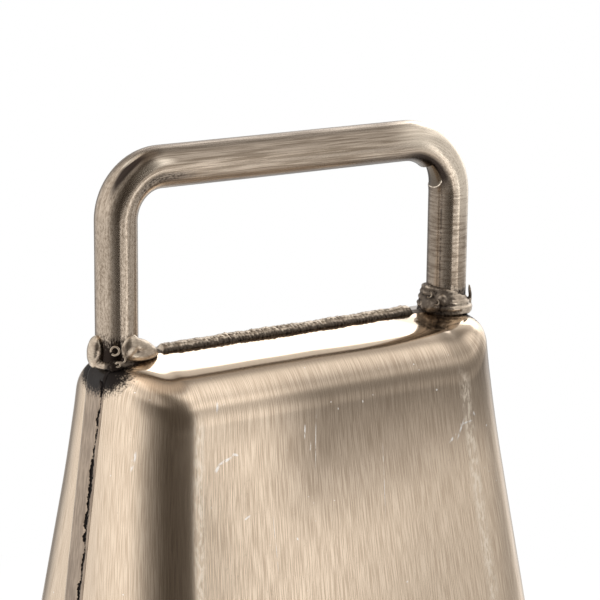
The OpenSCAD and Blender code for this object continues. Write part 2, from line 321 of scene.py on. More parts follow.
def up_the_profile(rim, part, share):
    """The length up the skin from the rim to a point of the wall, the shoulder or the roof."""
    if part == "wall":
        return skin_point(rim, part, share).z
    r, pitch, lean = shoulder_bend(up_the_wall(rim, SHOULDER_DROP)[1])
    top = skin_point(rim, "wall", 1).z
    arc = r * (QUARTER - pitch - lean)
    if part == "shoulder":
        return top + arc * share
    return top + arc + (skin_point(rim, "roof", share) - skin_point(rim, "shoulder", 1)).length


def face_bulge(rim, z):
    """How far a flat face swells out: most at its middle, nothing at its edges, the rim and the shoulder."""
    full_from, fade_h = 60 * MM, 22 * MM
    up = clamp(min(z / full_from, (BODY_H - SHOULDER_DROP - z) / fade_h))
    return FACE_BULGE * max(0.0, 1 - (rim.x / CORE_X) ** 2) * up * up * (3 - 2 * up)


def rim_chain(bm):
    """The front half of the rim as one chain of edges: straights run out, corners spun."""
    end_run, face_run, still = Vector((0, CORE_Y - SEAM_HALF, 0)), Vector((2 * CORE_X, 0, 0)), Vector()
    spins = (
        (-end_run, still, 0, RIM_END_STEPS),
        (still, Vector((-CORE_X, -CORE_Y, 0)), QUARTER, RIM_CORNER_STEPS),
        (face_run, still, 0, RIM_FACE_STEPS),
        (still, Vector((CORE_X, -CORE_Y, 0)), QUARTER, RIM_CORNER_STEPS),
        (end_run, still, 0, RIM_END_STEPS),
    )
    geom = [bm.verts.new((-MOUTH_HALF_W, -SEAM_HALF, 0))]
    for run, centre, angle, steps in spins:
        made = bmesh.ops.spin(
            bm, geom=geom, cent=centre, axis=Z_AXIS, dvec=run / steps, angle=angle, steps=steps
        )
        geom = made["geom_last"]
    bmesh.ops.remove_doubles(bm, verts=bm.verts, dist=SAME_POINT)


def skin_levels():
    """The levels at which the skin is drawn, from the rim up: each a part of it and a share of that part."""
    wall = [("wall", 1 - (1 - k / WALL_STEPS) ** WALL_STEP_CLOSING) for k in range(1, WALL_STEPS + 1)]
    shoulder = [("shoulder", k / SHOULDER_STEPS) for k in range(1, SHOULDER_STEPS + 1)]
    roof = [("roof", k / ROOF_STEPS) for k in range(1, ROOF_STEPS + 1)]
    return wall + shoulder + roof


def draw_up_skin(bm):
    """Draws the rim chain up level by level over wall, shoulder and roof.

    The layer flat keeps the way round as x and the way up as y."""
    rim_layer = bm.verts.layers.float_vector.new("rim")
    flat = bm.verts.layers.float_vector.new("flat")
    rim_chain(bm)
    for v in bm.verts:
        v[rim_layer] = v.co
        v[flat] = (round_the_rim(v.co), 0, 0)
    edges = list(bm.edges)
    for part, share in skin_levels():
        verts, edges = extrude_chain(bm, edges)
        for v in verts:
            rim = v[rim_layer]
            v.co = skin_point(rim, part, share)
            v.co.y -= face_bulge(rim, v.co.z)
            v[flat] = (round_the_rim(rim), up_the_profile(rim, part, share), 0)
    bm.verts.layers.float_vector.remove(rim_layer)


def wave_skin(bm):
    """Gives a half the faint waves of pressed sheet, which fade out at the seam and the rim."""
    bm.normal_update()
    for v in bm.verts:
        fade = clamp(min((abs(v.co.y) - SEAM_HALF) / (8 * MM), v.co.z / (12 * MM)))
        wave = 0.10 * lumps(v.co, 26, 3.1) + 0.05 * lumps(v.co, 11, 5.3)
        v.co += v.normal * wave * MM * fade


def press_half_shell(front):
    """One pressed half, brushed outside and dull inside; its map lay follows the brushing."""
    bm = bmesh.new()
    draw_up_skin(bm)
    ease_corners(bm)
    if not front:
        bmesh.ops.mirror(bm, geom=bm.verts[:] + bm.edges[:] + bm.faces[:], axis="Y", merge_dist=0)
        bmesh.ops.delete(bm, geom=[v for v in bm.verts if v.co.y < 0], context="VERTS")
    face_away(bm, -Y_AXIS if front else Y_AXIS)
    wave_skin(bm)
    outer = set(bm.faces)
    bmesh.ops.solidify(bm, geom=bm.faces[:], thickness=SHEET_T)
    for f in bm.faces:
        f.material_index = 0 if f in outer else 1
    keep_above_table(bm)
    flat = bm.verts.layers.float_vector["flat"]
    lay = bm.loops.layers.uv.new("lay")
    for face in outer:
        for loop in face.loops:
            loop[lay].uv = loop.vert[flat].xy
    return bm


def ease_corners(bm):
    """Takes the faint creases out of the roof and shoulders round the corners, off the open edges."""
    from_z, from_x = BODY_H - 16 * MM, TOP_HALF_W - TOP_CORNER_R - 5 * MM
    inner = [v for v in bm.verts if v.co.z > from_z and abs(v.co.x) > from_x and not v.is_boundary]
    smooth_over(bm, inner, 5)


# Seams

def roll_top_bead():
    """The crest's weld: a root between the halves and a rough rippled bead on top of it."""
    end_x = bead_high.x
    bm = bmesh.new()
    place = Matrix.Translation((-end_x, 0, BODY_H)) @ Matrix.Rotation(QUARTER, 4, "Y")
    verts, edges, unbent = start_wire(bm, 1.0, 24, place)
    for v in verts:
        v[unbent] = Vector((v.co.y, v.co.z - BODY_H, 0))
    sweep_wire(bm, edges, [("go", Vector((2 * end_x, 0, 0)), BEAD_STEPS)], unbent)
    soot_and_shade = bm.verts.layers.float.new("soot_and_shade")
    for v in bm.verts:
        v.co, v[soot_and_shade] = bead_point(v.co.x, v[unbent].x, v[unbent].y)
    close_ends(bm)
    return bm


def bead_point(x, across, high):
    """Where a point of the unit ring comes to on the bead's outline at x, and how black it is."""
    root_h, crown_h, end_run = BODY_H - bead_low.z, bead_high.z - BODY_H, 0.45 * MM
    if high <= 0.02:
        y = SEAM_HALF * copysign(abs(across) ** 0.35, across)
        return Vector((x, y, BODY_H - root_h * abs(high) ** 0.4)), 0.9
    rise = clamp((BEAD_HALF - abs(x)) / end_run) ** 0.5
    if rise <= 0:
        return Vector((x, SEAM_HALF * across, BODY_H + 0.05 * MM * high)), 0.6
    line = Vector((x, 0, 0))
    spot = Vector((x, across * 2 * MM, high * 2 * MM))
    pace = x / (0.9 * MM) + 0.9 * across + 1.6 * lumps(line, 4, 2.2)
    ripple = (pace % 1.0) ** 1.5
    fine = lumps(spot, 0.55, 4.1)
    rough = 0.80 + 0.10 * lumps(line, 7, 7.7) + 0.08 * lumps(spot, 1.6, 1.4) + 0.10 * fine - 0.09 * ripple
    wide = 1.10 + 0.16 * lumps(line, 6, 9.4) + 0.14 * fine - 0.10 * ripple
    y = SEAM_HALF * across * (1 + (wide - 1) * rise) + 0.25 * MM * lumps(line, 12, 3.9) * rise
    black = 0.04 + 0.66 * (1 - clamp((high - 0.30) / 0.45)) + 0.30 * ripple - 0.45 * max(0.0, fine)
    return Vector((x, y, BODY_H + crown_h * high * min(1.0, rough) * rise)), clamp(black)


def fill_end_seam(side):
    """Ground weld metal up an end wall: a thin cap over both halves."""
    bm = bmesh.new()
    soot_and_shade = bm.verts.layers.float.new("soot_and_shade")
    layer = bm.verts.layers.float_vector.new("rim")
    start = bm.verts.new((0, -CAP_HALF, 0))
    step = (0, 2 * CAP_HALF / CAP_STEPS, 0)
    bmesh.ops.spin(bm, geom=[start], cent=(0, 0, 0), axis=Z_AXIS, dvec=step, angle=0, steps=CAP_STEPS)
    for v in bm.verts:
        v[layer] = v.co
        v.co, v[soot_and_shade] = seam_point(v.co.y, 0, side)
    edges = list(bm.edges)
    for k in range(1, SEAM_STEPS + 1):
        verts, edges = extrude_chain(bm, edges)
        for v in verts:
            v.co, v[soot_and_shade] = seam_point(v[layer].y, k / SEAM_STEPS, side)
    face_away(bm, side * X_AXIS)
    bmesh.ops.solidify(bm, geom=bm.faces[:], thickness=SHEET_T)
    keep_above_table(bm)
    bm.verts.layers.float_vector.remove(layer)
    return bm


def seam_point(y, share, side):
    """A point of the end seam's outer face, and how black it is there."""
    rim = Vector((side * MOUTH_HALF_W, -SEAM_HALF, 0))
    if share < SEAM_WALL_SHARE:
        p = skin_point(rim, "wall", share / SEAM_WALL_SHARE)
    else:
        p = skin_point(rim, "shoulder", (share - SEAM_WALL_SHARE) / (1 - SEAM_WALL_SHARE))
    z = p.z
    spot, line = Vector((0, y, z)), Vector((0, 0, z))
    edge = 1 - max(0.0, (abs(y) - 0.8 * CAP_HALF) / (0.2 * CAP_HALF)) ** 2
    fade = min(1, z / (6 * MM))
    proud = (0.03 + 0.33 * edge + 0.05 * lumps(spot, 3, 1.3) * edge) * fade * MM
    toe_y = (-2.3 - 1.0 * z / BODY_H + 0.5 * lumps(line, 15, 4.7) + 0.3 * lumps(line, 4, 8.9)) * MM
    width = 1.25 + 1.2 * lumps(Vector((0, 1, z)), 9, 6.1) + 0.8 * lumps(Vector((0, 2, z)), 1.6, 9.3)
    back = y - toe_y + 0.3 * MM * lumps(spot, 1.1, 3.3)
    band = clamp(min(back, max(0.0, width) * MM - back) / (0.3 * MM))
    pit = max(0.75 * clamp(1 - abs(back) / (0.42 * MM)), band)
    pit = pit if 8 * MM < z < BODY_H - 4 * MM else 0.0
    return Vector((p.x + side * proud * (1 - 0.85 * pit), y, z)), pit


# Handle

def bend_handle_rod():
    """One rod: up the left leg, round the left bend, along the grip and down the right leg."""
    bm = bmesh.new()
    foot = Vector((-LEG_X, 0, handle_low.z))
    _, edges, unbent = start_wire(bm, ROD_R, 72, Matrix.Translation(foot))
    left_z, right_z = GRIP_Z - LEFT_BEND_R, GRIP_Z - RIGHT_BEND_R
    moves = [
        ("go", Vector((0, 0, LEFT_BEND_AT)), 34),
        ("turn", Vector((-LEG_X + LEFT_BEND_R, 0, left_z)), Y_AXIS, QUARTER, 36),
        ("go", Vector((RIGHT_BEND_AT - GRIP_AT, 0, 0)), 60),
        ("turn", Vector((LEG_X - RIGHT_BEND_R, 0, right_z)), Y_AXIS, QUARTER, 90),
        ("go", Vector((0, 0, handle_low.z - right_z)), 32),
    ]
    sweep_wire(bm, edges, moves, unbent)
    close_ends(bm)
    bm.normal_update()
    die = bm.verts.layers.float.new("die")
    for v in bm.verts:
        dent = 0.05 * MM * (lumps(v.co, 9, 2.6) - 1) * 0.5
        v[die] = on_die_mark(v[unbent])
        v.co += v.normal * (dent - die_depth(v[unbent]) * v[die])
    lay_rod_map(bm, unbent)
    return bm


# The flat that the bending die left inside the right bend, on the straight rod
DIE_MARK_END = RIGHT_BEND_AT + 19.6 * MM
DIE_MARK_LENGTH = 9.8 * MM
DIE_MARK_HALF = 3.5 * MM
DIE_MARK_SHALLOW = 0.15 * MM
DIE_MARK_DEEP = 1.5 * MM
DIE_MARK_EDGE = 0.3 * MM
# The mark runs on round the rod's far side, where its distances count for less
DIE_MARK_FAR = 0.3


def on_die_mark(straight):
    """1 on the die's tongue-shaped mark, 0 off it, with a short step at its edge."""
    across = atan2(straight.y, straight.x) * ROD_R
    across *= 1.0 if across < 0 else DIE_MARK_FAR
    past = max(0.0, straight.z - (DIE_MARK_END - DIE_MARK_HALF))
    inside = min(DIE_MARK_HALF - hypot(across, past), straight.z - (DIE_MARK_END - DIE_MARK_LENGTH))
    return clamp(inside / DIE_MARK_EDGE)


def die_depth(straight):
    """How deep the die's mark lies at a point: it deepens towards the grip."""
    share = clamp((DIE_MARK_END - straight.z) / DIE_MARK_LENGTH)
    return DIE_MARK_SHALLOW + (DIE_MARK_DEEP - DIE_MARK_SHALLOW) * share


def lay_rod_map(bm, unbent):
    """A map with the rod's length as u and the turn round it as v, for the lie of the brushing."""
    lay = bm.loops.layers.uv.new("lay")
    for face in bm.faces:
        turns = [atan2(loop.vert[unbent].y, loop.vert[unbent].x) for loop in face.loops]
        wraps = max(turns) - min(turns) > pi
        for loop, turn in zip(face.loops, turns):
            v = turn + (2 * pi if wraps and turn < 0 else 0)
            loop[lay].uv = (loop.vert[unbent].z, v * ROD_R)


# Handle welds: lobes of run metal, each (inward, sideways, up, three half sizes, tilt and turn in degrees)
LEFT_LOBES = (
    (-5.2, 0.7, 2.0, 2.0, 2.8, 3.9, 6, -30),
    (-3.4, 3.4, 0.2, 2.2, 2.2, 2.0, 0, 0),
    (-2.6, -4.0, -0.8, 2.2, 1.6, 1.5, 0, -20),
    (0.9, -4.3, 3.3, 2.5, 1.9, 3.3, 20, 15),
    (4.4, -3.6, 2.6, 5.9, 1.9, 2.0, 27, 15),
    (4.2, -3.6, 1.0, 5.4, 2.1, 1.6, 6, 15),
    (0.9, 4.3, 3.1, 2.5, 1.9, 3.1, 20, -15),
    (4.4, 3.6, 2.5, 5.7, 1.9, 1.9, 27, -15),
    (4.2, 3.6, 1.0, 5.2, 2.1, 1.6, 6, -15),
    (0.0, 0.0, -0.9, 6.0, 5.7, 1.8, 0, 0),
)
RIGHT_LOBES = (
    (0.3, 0.1, -0.4, 7.2, 6.9, 1.6, 0, 0),
    (0.3, 0.1, 0.8, 7.3, 7.0, 1.7, -4, 0),
    (0.5, 0.2, 2.3, 6.7, 6.4, 1.7, -6, 0),
    (0.7, 0.3, 3.6, 6.1, 5.9, 1.6, -8, 0),
    (0.9, 0.3, 4.8, 5.5, 5.5, 1.3, -10, 0),
    (5.4, -1.6, 1.8, 3.0, 3.4, 2.1, 24, 20),
    (4.0, -3.4, 3.0, 1.9, 2.2, 2.2, 10, 30),
    (-5.2, -3.2, 3.4, 0.42, 0.46, 2.7, 8, 0),
)
# Curls of metal that stand off the welds, each (inward, sideways, up, radius, wire radius, degrees round)
LEFT_CURLS = (
    (-3.5, -5.3, 3.2, 0.95, 0.27, 330),
    (-2.1, -6.0, 1.2, 0.75, 0.24, 210),
    (-2.9, -5.6, 0.0, 0.50, 0.28, 300),
)
RIGHT_CURLS = (
    (7.0, -2.2, 4.4, 0.70, 0.16, 200),
    (9.6, -1.6, 2.6, 0.60, 0.15, 180),
    (6.4, -4.6, 2.8, 0.60, 0.16, 220),
)
# The way from the weld to the photograph's camera, which the curls face
CURL_AXIS = Vector((-0.52, -0.82, 0.23)).normalized()
LOBE_STEP = 0.26 * MM


def by_the_foot(side, inward, sideways, up):
    """A point in millimetres from where a leg's middle line meets the crest's height."""
    return Vector((side * (LEG_X - inward * MM), sideways * MM, BODY_H + up * MM))


def pile_handle_weld(side, lobes, curls, crumple, seed, roof_trees):
    """Run weld metal round a foot of the handle: lobes fused by a remesh, roughened, blackened and seated.

    crumple from 0 to 1 makes the metal towards the bead black and creased."""
    bm = fuse_lobes(lay_lobes(side, lobes))
    smooth_over(bm, bm.verts, 5)
    roughen_weld(bm, crumple, seed)
    blacken_weld(bm, crumple, seed)
    seat_on_roof(bm, crumple, roof_trees)
    for inward, sideways, up, radius, wire_r, arc in curls:
        centre = by_the_foot(side, inward, sideways, up)
        stand_curl(bm, centre, radius * MM, wire_r * MM, radians(arc))
    face_out(bm)
    return bm


def lay_lobes(side, lobes):
    bm = bmesh.new()
    for inward, sideways, up, ra, rb, rc, tilt, turn in lobes:
        place = (
            Matrix.Translation(by_the_foot(side, inward, sideways, up))
            @ Matrix.Rotation(radians(-side * turn), 4, "Z")
            @ Matrix.Rotation(radians(-side * tilt), 4, "Y")
            @ Matrix.Diagonal((ra * MM, rb * MM, rc * MM, 1))
        )
        bmesh.ops.create_icosphere(bm, subdivisions=3, radius=1, matrix=place)
    return bm


def roughen_weld(bm, crumple, seed):
    bm.normal_update()
    for v in bm.verts:
        coarse = 0.16 * lumps(v.co, 4.2, seed) + 0.05 * lumps(v.co, 1.9, seed + 1)
        crease = 0.10 * lumps(v.co, 1.3, seed + 2) + 0.07 * lumps(v.co, 0.6, seed + 5)
        rough = coarse - crease * toward_bead(v.co, crumple) + 0.04 * lumps(v.co, 0.9, seed + 3)
        v.co += v.normal * MM * rough


def blacken_weld(bm, crumple, seed):
    """Puts soot in a weld's hollows, in its crevice, on its bead's side and on its outer tip."""
    hollow_depth = (0.24 + 0.2 * crumple) * MM
    soot_and_shade = bm.verts.layers.float.new("soot_and_shade")
    for v, depth in zip(bm.verts, hollows(bm, 24)):
        dark = 0.60 * toward_bead(v.co, crumple) + crumple * (0.16 + 0.2 * lumps(v.co, 2.2, seed + 4))
        if abs(v.co.x) > LEG_X + 4.4 * MM and v.co.z > BODY_H + 2.4 * MM:
            dark += 0.7 * crumple
        low = 1 - (v.co.z - BODY_H) / (5 * MM)
        v[soot_and_shade] = clamp(clamp(dark + depth / hollow_depth) + max(0.0, in_crevice(v.co, crumple) * low))


def seat_on_roof(bm, crumple, roof_trees):
    """Seats a weld's skin on the roof and paints shadow black along its foot, where it meets the roof."""
    foot_shadow_h, sunk = (1.1 - 0.4 * crumple) * MM, 0.5 * MM
    soot_and_shade = bm.verts.layers.float["soot_and_shade"]
    for v in bm.verts:
        for tree in roof_trees:
            hit = tree.ray_cast(Vector((v.co.x, v.co.y, GRIP_Z)), -Z_AXIS)[0]
            if hit is not None:
                # Painted shadow: black along the weld's foot, just above the roof.
                v[soot_and_shade] = clamp(v[soot_and_shade] + max(0.0, 1 - (v.co.z - hit.z) / foot_shadow_h))
                v.co.z = max(v.co.z, hit.z - sunk)


def toward_bead(point, crumple):
    """How far a point of a foot's weld lies on the bead's side of the rod, times crumple."""
    inward = LEG_X - abs(point.x)
    return crumple * clamp((inward - 0.5 * MM) / (4 * MM))


def in_crevice(point, crumple):
    """How far a point lies in the dark gap between a smooth weld's outer lobe and its inner runs."""
    across = 0.866 * (LEG_X - abs(point.x)) + 0.5 * abs(point.y)
    return (1 - crumple) * clamp(1.6 - abs(across + 0.8 * MM) / (1.6 * MM))


def stand_curl(bm, centre, radius, wire_r, arc):
    """A thin curl of metal that stands off a weld, swept part of the way round an axis."""
    out = CURL_AXIS.orthogonal().normalized()
    along = CURL_AXIS.cross(out)
    place = Matrix((out, along.cross(out), along)).transposed().to_4x4()
    place = Matrix.Translation(centre + radius * out) @ place
    _, edges, unbent = start_wire(bm, wire_r, 10, place)
    last = sweep_wire(bm, edges, [("turn", centre, CURL_AXIS, arc, 18)], unbent)
    bmesh.ops.holes_fill(bm, edges=edges + last, sides=0)


def fuse_lobes(bm):
    """Gives back one skin over overlapping closed lobes, remeshed."""
    mesh = bpy.data.meshes.new("lobes")
    bm.to_mesh(mesh)
    bm.free()
    holder = bpy.data.objects.new("lobes", mesh)
    bpy.context.scene.collection.objects.link(holder)
    fuse = holder.modifiers.new("fuse", "REMESH")
    fuse.mode = "VOXEL"
    fuse.voxel_size = LOBE_STEP
    graph = bpy.context.evaluated_depsgraph_get()
    fused = bpy.data.meshes.new_from_object(holder.evaluated_get(graph))
    bpy.data.objects.remove(holder)
    bpy.data.meshes.remove(mesh)
    whole = bmesh.new()
    whole.from_mesh(fused)
    bpy.data.meshes.remove(fused)
    return whole


def hollows(bm, times):
    """How deep each point lies below the surface that smoothing would leave, in metres."""
    bm.normal_update()
    before = [(v.co.copy(), v.normal.copy()) for v in bm.verts]
    smooth_over(bm, bm.verts, times)
    depths = [(v.co - co).dot(normal) for v, (co, normal) in zip(bm.verts, before)]
    for v, (co, _) in zip(bm.verts, before):
        v.co = co
    return depths


# Clapper and what it hangs from

def bend_staple():
    """The wire staple under the crest: two legs and a cross bar, with the bends between them."""
    bend_z = staple_low.z + STAPLE_WIRE_R + STAPLE_BEND_R
    bend_x = STAPLE_LEG_X - STAPLE_BEND_R
    bm = bmesh.new()
    foot = Vector((-STAPLE_LEG_X, 0, staple_high.z))
    _, edges, unbent = start_wire(bm, STAPLE_WIRE_R, 24, Matrix.Translation(foot))
    drop = Vector((0, 0, bend_z - staple_high.z))
    moves = [
        ("go", drop, 8),
        ("turn", Vector((-bend_x, 0, bend_z)), Y_AXIS, -QUARTER, 12),
        ("go", Vector((2 * bend_x, 0, 0)), 12),
        ("turn", Vector((bend_x, 0, bend_z)), Y_AXIS, -QUARTER, 12),
        ("go", -drop, 8),
    ]
    sweep_wire(bm, edges, moves, unbent)
    close_ends(bm)
    return bm


def close_hanger_ring():
    """The closed wire ring: four bars with round bends, joined end to end."""
    wire_r = ring_high.x
    top_z = ring_high.z - wire_r
    bend_y = ring_high.y - wire_r - RING_BEND_R
    high_z, low_z = top_z - RING_BEND_R, ring_low.z + wire_r + RING_BEND_R
    bm = bmesh.new()
    place = Matrix.Translation((0, -bend_y, top_z)) @ Matrix.Rotation(QUARTER, 4, "X")
    verts, edges, unbent = start_wire(bm, wire_r, 20, place)
    for v in verts:
        v[unbent] = Vector((v.co.x, v.co.z - top_z, 0))
    level = Vector((0, 2 * bend_y, 0))
    upright = Vector((0, 0, high_z - low_z))
    bars = (
        (level, bend_y, high_z),
        (-upright, bend_y, low_z),
        (-level, -bend_y, low_z),
        (upright, -bend_y, high_z),
    )
    moves = []
    for bar, y, z in bars:
        moves += [("go", bar, 10), ("turn", Vector((0, y, z)), X_AXIS, -QUARTER, 10)]
    sweep_wire(bm, edges, moves, unbent)
    merge_skin(bm, WIRE_JOIN)
    return bm


def forge_clapper_shank():
    """The clapper's rod with a closed eye spun at its top."""
    eye_r = shank_high.x - EYE_WIRE_R
    eye_z = shank_high.z - shank_high.x
    bm = bmesh.new()
    foot, neck = Vector((0, 0, shank_low.z)), Vector((0, 0, eye_z - eye_r))
    _, edges, unbent = start_wire(bm, SHANK_R, 24, Matrix.Translation(foot))
    sweep_wire(bm, edges, [("go", neck - foot, 60)], unbent)
    close_ends(bm)
    place = Matrix.Translation(neck) @ Matrix.Rotation(QUARTER, 4, "Y")
    _, edges, unbent = start_wire(bm, EYE_WIRE_R, 20, place)
    sweep_wire(bm, edges, [("turn", Vector((0, 0, eye_z)), Y_AXIS, 2 * pi, 56)], unbent)
    merge_skin(bm, WIRE_JOIN)
    return bm


def turn_clapper_ball():
    """The striking ball, with the small flats and dents of use."""
    radius = ball_high.x
    centre = Vector((0, 0, ball_low.z + radius))
    bm = bmesh.new()
    bmesh.ops.create_icosphere(bm, subdivisions=5, radius=radius, matrix=Matrix.Translation(centre))
    for v in bm.verts:
        out = (v.co - centre).normalized()
        dent = 0.08 * (lumps(v.co, 5, 6.6) - 1) + 0.025 * (lumps(v.co, 1.8, 9.2) - 1)
        v.co += out * dent * MM
    return bm


def run_ball_weld():
    """The weld collar where the shank enters the ball, rippled like a fillet laid by hand."""
    collar_r = collar_high.x
    bm = bmesh.new()
    soot_and_shade = bm.verts.layers.float.new("soot_and_shade")
    foot = (collar_r, 0, collar_low.z - 0.3 * MM)
    knee = (0.78 * collar_r, 0, 0.45 * collar_high.z + 0.55 * collar_low.z)
    top = (SHANK_R - 0.1 * MM, 0, collar_high.z)
    spin_fillet(bm, (foot, knee, top), (0, 0, 0), 72)
    merge_skin(bm, SAME_POINT)
    for v in bm.verts:
        ripple = 0.5 * cos(9 * atan2(v.co.y, v.co.x) + 3 * v.co.z / MM)
        shrink = 1 - 0.03 * (1 - ripple) - 0.03 * (1 + lumps(v.co, 1.5, 4.4))
        if hypot(v.co.x, v.co.y) > SHANK_R:
            v.co.xy *= shrink
        v[soot_and_shade] = 0.4 + 0.4 * lumps(v.co, 2, 1.9)
    return bm


def run_staple_welds():
    """The two fillets that hold the staple's legs to the roof, each a lumpy cone."""
    reach = fillet_high.x - STAPLE_LEG_X
    middle_z = 0.5 * (fillet_low.z + fillet_high.z)
    roof_z = BODY_H - SHEET_T / cos(FACE_PITCH) + 0.3 * MM
    bm = bmesh.new()
    soot_and_shade = bm.verts.layers.float.new("soot_and_shade")
    for leg_x in (-STAPLE_LEG_X, STAPLE_LEG_X):
        foot = (leg_x + STAPLE_WIRE_R - 0.1 * MM, 0, fillet_low.z)
        knee = (leg_x + 0.55 * (STAPLE_WIRE_R + reach), 0, middle_z + 0.4 * MM)
        top = (leg_x + reach, 0, fillet_high.z + 0.2 * MM)
        spin_fillet(bm, (foot, knee, top), (leg_x, 0, 0), 60)
    merge_skin(bm, SAME_POINT)
    for v in bm.verts:
        v[soot_and_shade] = clamp(0.5 + 0.5 * lumps(v.co, 2, 2.7))
        slope = (abs(v.co.y) - SEAM_HALF) * tan(FACE_PITCH)
        v.co.z = min(v.co.z, roof_z - max(0, slope))
    return bm


# Finishes

NICKEL = (0.86, 0.705, 0.545, 1)
# Bright worn nickel, also used for painted highlights.
NICKEL_WORN_AND_HIGHLIGHT = (0.95, 0.83, 0.68, 1)
NICKEL_AGED = (0.64, 0.505, 0.375, 1)
NICKEL_PAINTED_SHADE = (0.35, 0.34, 0.335, 1)
CHIPPED = (1.0, 0.97, 0.93, 1)
HANDLE_LIGHT = (0.60, 0.50, 0.40, 1)
HANDLE_AGED = (0.30, 0.235, 0.175, 1)
HANDLE_SHADE_PAINT = (0.07, 0.055, 0.045, 1)
HANDLE_BURN_AND_SHADOW = (0.04, 0.03, 0.025, 1)
DIE_GREY = (0.14, 0.115, 0.09, 1)
WELD_BRIGHT = (0.72, 0.61, 0.48, 1)
WELD_RUBBED = (0.52, 0.43, 0.335, 1)
WELD_CLOUD = (0.24, 0.18, 0.14, 1)
SEAM_LIGHT = (0.46, 0.365, 0.28, 1)
SEAM_DARK = (0.31, 0.24, 0.185, 1)
SEAM_CLOUD = (0.26, 0.20, 0.155, 1)
SEAM_PIT = (0.012, 0.009, 0.008, 1)
INSIDE_LIGHT = (0.44, 0.39, 0.33, 1)
INSIDE_DARK = (0.30, 0.26, 0.22, 1)
INSIDE_STAIN = (0.12, 0.09, 0.07, 1)
CLAPPER_RUBBED = (0.46, 0.41, 0.35, 1)
WIRE_DARK = (0.22, 0.19, 0.16, 1)
IRON_DARK = (0.20, 0.17, 0.14, 1)
IRON_SPECK = (0.08, 0.06, 0.05, 1)
SCORCHED = (0.17, 0.138, 0.11, 1)
BURNT = (0.030, 0.022, 0.018, 1)
SOOT = (0.022, 0.018, 0.016, 1)
WHITE = (1, 1, 1, 1)
GRAIN_ROUGH = 0.55


class Field:
    """A number, a place or a colour that varies over a finish; arithmetic with it adds nodes to its tree."""

    def __init__(self, tree, socket):
        self.tree = tree
        self.socket = socket

    def node(self, kind, inputs, output, **settings):
        return Field(self.tree, add_node(self.tree, kind, inputs, **settings).outputs[output])

    def calc(self, operation, other=0.0):
        return self.node("Math", {0: self, 1: other}, "Value", operation=operation)

    def __add__(self, other):
        return self.calc("ADD", other)

    def __sub__(self, other):
        return self.calc("SUBTRACT", other)

    def __rsub__(self, other):
        return self * -1.0 + other

    def __mul__(self, other):
        return self.calc("MULTIPLY", other)

    def __abs__(self):
        return self.calc("ABSOLUTE")

    def most(self, other):
        return self.calc("MAXIMUM", other)

    def toward(self, other, factor):
        """Goes from this to another value as a factor goes from 0 to 1."""
        return (other - self) * factor + self

    def spread(self, low, high, to_low=0.0, to_high=1.0, kind="SMOOTHSTEP"):
        """Maps the range low to high onto another range, and holds it there."""
        ranges = {"Value": self, "From Min": low, "From Max": high, "To Min": to_low, "To Max": to_high}
        return self.node("MapRange", ranges, "Result", interpolation_type=kind)

    def tint(self, first, second, blend="MIX"):
        """A colour that goes from first to second as this goes from 0 to 1."""
        return self.node("Mix", {0: self, 6: first, 7: second}, 2, data_type="RGBA", blend_type=blend)

    def parts(self):
        """The three parts of a place."""
        split = add_node(self.tree, "SeparateXYZ", {"Vector": self})
        return [Field(self.tree, part) for part in split.outputs]

    def length(self):
        return self.node("VectorMath", {0: self}, "Value", operation="LENGTH")

    def grain(self, scale, detail):
        """Noise at a place, stretched by three scales, in steps per metre."""
        placed = self.node("Mapping", {"Vector": self, "Scale": scale}, "Vector")
        look = {"Vector": placed, "Scale": 1.0, "Detail": detail, "Roughness": GRAIN_ROUGH}
        return self.node("TexNoise", look, "Fac")


def join_inputs(tree, node, inputs):
    """Links each input given as a field or a socket, and sets any other."""
    for key, value in inputs.items():
        value = value.socket if isinstance(value, Field) else value
        if isinstance(value, bpy.types.NodeSocket):
            tree.links.new(value, node.inputs[key])
        else:
            node.inputs[key].default_value = value


def add_node(tree, kind, inputs=None, **settings):
    node = tree.nodes.new("ShaderNode" + kind)
    for key, value in settings.items():
        setattr(node, key, value)
    join_inputs(tree, node, inputs or {})
    return node


def carried(tree, name, output="Vector"):
    """What a piece carries as an attribute: a place, or a number with Fac."""
    return Field(tree, add_node(tree, "Attribute", attribute_name=name).outputs[output])


def on_piece(tree, output="Object"):
    """A piece's own coordinates or normals, or the world's directions."""
    return Field(tree, add_node(tree, "TexCoord").outputs[output])


def new_finish(name):
    finish = bpy.data.materials.new(name)
    finish.use_nodes = True
    return finish, finish.node_tree


def metal(finish, colour, rough, height, strength, depth, lay=0.0, lay_turn=0.0):
    """Makes a finish metal, with a bump; lay is how strongly its gloss follows the piece's map."""
    tree = finish.node_tree
    bump = add_node(tree, "Bump", {"Height": height, "Strength": strength, "Distance": depth})
    inputs = {"Base Color": colour, "Roughness": rough, "Metallic": 1.0, "Normal": bump.outputs["Normal"]}
    if lay:
        tangent = add_node(tree, "Tangent", direction_type="UV_MAP", uv_map="lay").outputs["Tangent"]
        inputs.update({"Anisotropic": lay, "Anisotropic Rotation": lay_turn, "Tangent": tangent})
    join_inputs(tree, tree.nodes["Principled BSDF"], inputs)
    return finish


def near_feet(coords):
    """A mask that is 1 round the handle's feet and on the end walls just below them, for soot."""
    x, y, z = coords.parts()
    offset = {"X": abs(x) - (LEG_X + 4.5 * MM), "Y": y * 0.62, "Z": z - (BODY_H - 1.5 * MM)}
    away = coords.node("CombineXYZ", offset, "Vector").length()
    cloud = coords.grain((420, 420, 420), 2.0)
    speck = coords.grain((2300, 2300, 2300), 2.0)
    ragged = (speck - 0.5) * 1.2 + (cloud - 0.5) * 0.5
    return (away.spread(9.0 * MM, 3.4 * MM) + ragged).spread(0.2, 0.8)


def in_front(coords):
    return coords.parts()[1].calc("LESS_THAN", 0.0)


